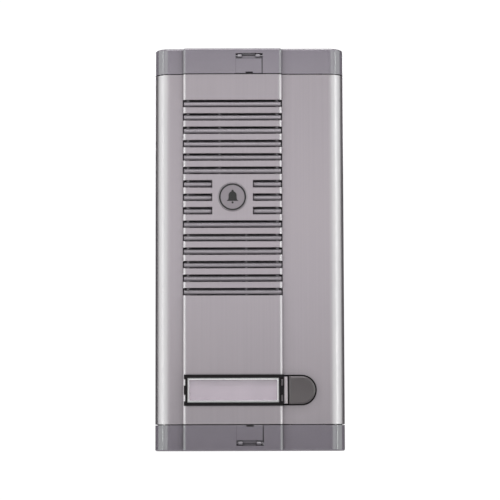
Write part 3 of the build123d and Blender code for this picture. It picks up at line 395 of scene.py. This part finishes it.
LOOKS = {
    "front_cover": anodised_aluminium(),
    "top_end_cap": CAP, "bottom_end_cap": CAP, "top_screw_flap": CAP, "bottom_screw_flap": CAP,
    # the louvre insert gets painted shade in its corners and slots
    "louvre_insert": moulded("louvre_plastic", (0.43, 0.382, 0.43), 0.42, painted_corner_shade=0.5),
    "dust_screen": woven_screen(),
    "badge_disc": satin_badge(),
    "badge_inlay": moulded("inlay_enamel", (0.03, 0.028, 0.03), 0.3),
    "name_holder": BLACK, "button_frame": BLACK,
    "name_card": card_paper(), "name_window": clear_window(),
    "call_button": moulded("button_plastic", (0.115, 0.098, 0.105), 0.34, depth=0.00001,
                           Specular_IOR_Level=0.7),
    "light_guide": milky("light_guide", (0.646, 0.575, 0.62)),
    "cover_screws": STEEL, "board_screws": STEEL, "frame_screws": STEEL, "terminal_screws": STEEL,
    "speaker_clamps": STEEL, "speaker_clamp_screws": STEEL, "speaker_basket": STEEL,
    "speaker_top_plate": STEEL, "speaker_yoke": STEEL, "button_spring": STEEL,
    "wall_box": BOX, "module_chassis": BOX,
    "cable_grommet": RUBBER, "microphone_boot": RUBBER,
    "speaker_surround": rubbery("surround_rubber", (0.016, 0.016, 0.017)),
    "wall_seal": SEAL, "speaker_gasket": SEAL,
    "speaker_cone": CONE, "speaker_dust_cap": CONE,
    "speaker_voice_coil": wound_copper(), "speaker_magnet": ferrite(),
    "speaker_terminal_strip": COMPONENT, "amplifier_chips": COMPONENT, "switch_body": COMPONENT,
    "microphone_capsule": brushed("capsule_can", (0.66, 0.66, 0.68), 0.28, (1, 0.05, 1)),
    "amplifier_board": printed_board(),
    "electrolytic_capacitors": can_sleeve(),
    "resistors": resistor_body(),
    "terminal_block": moulded("terminal_plastic", (0.03, 0.16, 0.08), 0.42),
    "trimmer_bodies": moulded("trimmer_plastic", (0.03, 0.10, 0.33), 0.38),
    "speaker_volume_rotor": ROTOR, "microphone_volume_rotor": ROTOR, "switch_plunger": ROTOR,
    "name_lamps": milky("lamp_diffuser", (0.86, 0.86, 0.78), 0.15),
    "speaker_leads": wire_jacket("red_jacket", (0.42, 0.03, 0.025)),
    "microphone_leads": wire_jacket("blue_jacket", (0.03, 0.08, 0.35)),
}
for name, node in NODES.items():
    for slot in node.material_slots:
        slot.material = LOOKS[name]


# ---------------------------------------------------------------- return spring of the call button

def coil_spring(node, wire=0.00035, coils=5.0, closed=0.9, steps=40, sides=12):
    """A closed-end compression spring in the place of the CAD one, whose end turns lie flat.

    wire is the wire's radius, closed the turns at each end that touch, and steps the points per turn.
    """
    low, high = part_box(node)
    middle = (low + high) / 2
    radius = (high.x - low.x) / 2 - wire
    span = (high.y - low.y) - 2 * wire
    turns = coils + 2 * closed
    path = []
    count = int(turns * steps)
    for k in range(count + 1):
        turn = turns * k / count
        if turn < closed:
            rise = turn / closed * wire
        elif turn > closed + coils:
            rise = span - (turns - turn) / closed * wire
        else:
            rise = wire + (turn - closed) / coils * (span - 2 * wire)
        angle = 2 * math.pi * turn
        path.append(Vector((middle.x + radius * math.cos(angle), low.y + wire + rise,
                            middle.z + radius * math.sin(angle))))
    mesh = bpy.data.meshes.new("return_spring")
    bm = bmesh.new()
    rings = []
    for k, point in enumerate(path):
        ahead = (path[min(k + 1, count)] - path[max(k - 1, 0)]).normalized()
        out = Vector((point.x - middle.x, 0.0, point.z - middle.z)).normalized()
        across = ahead.cross(out).normalized()
        rings.append([bm.verts.new(point + wire * (math.cos(a) * out + math.sin(a) * across))
                      for a in (2 * math.pi * j / sides for j in range(sides))])
    for first, second in zip(rings, rings[1:]):
        for j in range(sides):
            bm.faces.new((first[j], first[(j + 1) % sides], second[(j + 1) % sides], second[j]))
    for ring in (rings[0], rings[-1]):
        bm.faces.new(ring)
    bmesh.ops.recalc_face_normals(bm, faces=bm.faces)
    for face in bm.faces:
        face.smooth = len(face.verts) == 4
    bm.to_mesh(mesh)
    bm.free()
    made = bpy.data.objects.new("return_spring", mesh)
    bpy.context.collection.objects.link(made)
    made.data.materials.append(brushed("spring_steel", (0.66, 0.66, 0.67), 0.22, (1, 1, 1), 0.0003))
    return made, low, high


spring, spring_low, spring_high = coil_spring("button_spring")
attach(spring, "panel")
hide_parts("button_spring")
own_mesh(spring)


# ---------------------------------------------------------------- floor, light and camera

def area_light(name, place, aim, size, power, colour=(1, 1, 1)):
    """A soft box, power in watts, that faces aim and isn't seen by the camera."""
    data = bpy.data.lights.new(name, "AREA")
    data.shape = "RECTANGLE"
    data.size, data.size_y = size
    data.energy = power
    data.color = colour
    lamp = bpy.data.objects.new(name, data)
    lamp.location = place
    lamp.rotation_euler = (Vector(aim) - Vector(place)).to_track_quat("-Z", "Y").to_euler()
    lamp.visible_camera = False
    bpy.context.collection.objects.link(lamp)


def pale_floor(size=6.0, height=-0.30, glow=0.28):
    """A plain floor under the panel. It looks pale out to its edges, where the lamps no longer reach."""
    bpy.ops.mesh.primitive_plane_add(size=size, location=(0, 0, height))
    made = bpy.context.object
    made.name = "floor"
    s = Shader("pale_floor")
    cloud = s.noise(0.15, 3.0)
    seen = s.node("ShaderNodeLightPath").outputs["Is Camera Ray"]
    s.bsdf.inputs["Emission Color"].default_value = (1.0, 1.0, 1.0, 1.0)
    s.feed(s.bsdf.inputs["Emission Strength"], s.math("MULTIPLY", seen, glow))
    tone = s.mix(s.range(cloud, 0.0, 1.0), (0.80, 0.775, 0.79), (0.84, 0.815, 0.83))
    made.data.materials.append(s.done(tone, 0.7))
    s.material.cycles.emission_sampling = "NONE"


pale_floor()

# the aluminium is faintly pink, so the side lamps lean to green and its highlights come out neutral
NEUTRALISE = (0.905, 1.0, 0.925)
ORIGIN = (0.0, 0.0, 0.0)
TALL_BOX, TALL_STRIP = (0.90, 1.5), (0.03, 1.3)
area_light("front_key", (0.0, -1.0, 0.105), (0.0, 0.0, 0.02), (0.80, 0.33), 0.65)
area_light("overhead", (0.0, -0.28, 0.42), (0.0, 0.0, 0.05), (0.5, 0.25), 1.6)
area_light("left_box", (-0.98, -0.20, 0.0), ORIGIN, TALL_BOX, 4.65, NEUTRALISE)
area_light("right_box", (0.98, -0.20, 0.0), ORIGIN, TALL_BOX, 4.4, NEUTRALISE)
area_light("left_wing", (-0.70, -0.93, 0.0), ORIGIN, (0.56, 1.2), 2.4, NEUTRALISE)
area_light("right_wing", (0.70, -0.93, 0.0), ORIGIN, (0.54, 1.2), 2.25, NEUTRALISE)
# narrow lamps draw the thin bright line down each rounded corner of the caps
area_light("left_strip", (-0.95, -0.55, 0.0), ORIGIN, TALL_STRIP, 0.82, NEUTRALISE)
area_light("right_strip", (0.95, -0.55, 0.0), ORIGIN, TALL_STRIP, 1.10, NEUTRALISE)
area_light("rear_fill", (0.0, 1.2, 0.6), ORIGIN, (1.2, 0.8), 9.0)

# the camera sees a white background, and the object only a dim room
BACKDROP_STRENGTH, ROOM_STRENGTH = 1.05, 0.06
WHITE = (1.0, 1.0, 1.0, 1.0)
world = bpy.data.worlds.new("studio")
world.use_nodes = True
bpy.context.scene.world = world
tree = world.node_tree
room = tree.nodes["Background"]
room.inputs["Color"].default_value = WHITE
room.inputs["Strength"].default_value = ROOM_STRENGTH
backdrop = tree.nodes.new("ShaderNodeBackground")
backdrop.inputs["Color"].default_value = WHITE
backdrop.inputs["Strength"].default_value = BACKDROP_STRENGTH
path = tree.nodes.new("ShaderNodeLightPath")
either = tree.nodes.new("ShaderNodeMixShader")
tree.links.new(path.outputs["Is Camera Ray"], either.inputs["Fac"])
tree.links.new(room.outputs["Background"], either.inputs[1])
tree.links.new(backdrop.outputs["Background"], either.inputs[2])
tree.links.new(either.outputs["Shader"], tree.nodes["World Output"].inputs["Surface"])

scene = bpy.context.scene
scene.view_settings.view_transform = "Standard"

CAMERA_PLACE = (0.0002, -1.169, -0.1014)
CAMERA_PITCH = math.radians(5.06)
CAMERA_ROLL = math.radians(0.154)
FOCAL_MM, SENSOR_MM = 158.6, 36.0
lens = bpy.data.cameras.new("camera")
lens.lens = FOCAL_MM
lens.sensor_width = SENSOR_MM
lens.clip_start = 0.05
camera = bpy.data.objects.new("camera", lens)
camera.matrix_world = (Matrix.Translation(CAMERA_PLACE)
                       @ Matrix.Rotation(math.pi / 2 + CAMERA_PITCH, 4, "X")
                       @ Matrix.Rotation(-CAMERA_ROLL, 4, "Z"))
bpy.context.collection.objects.link(camera)
scene.camera = camera
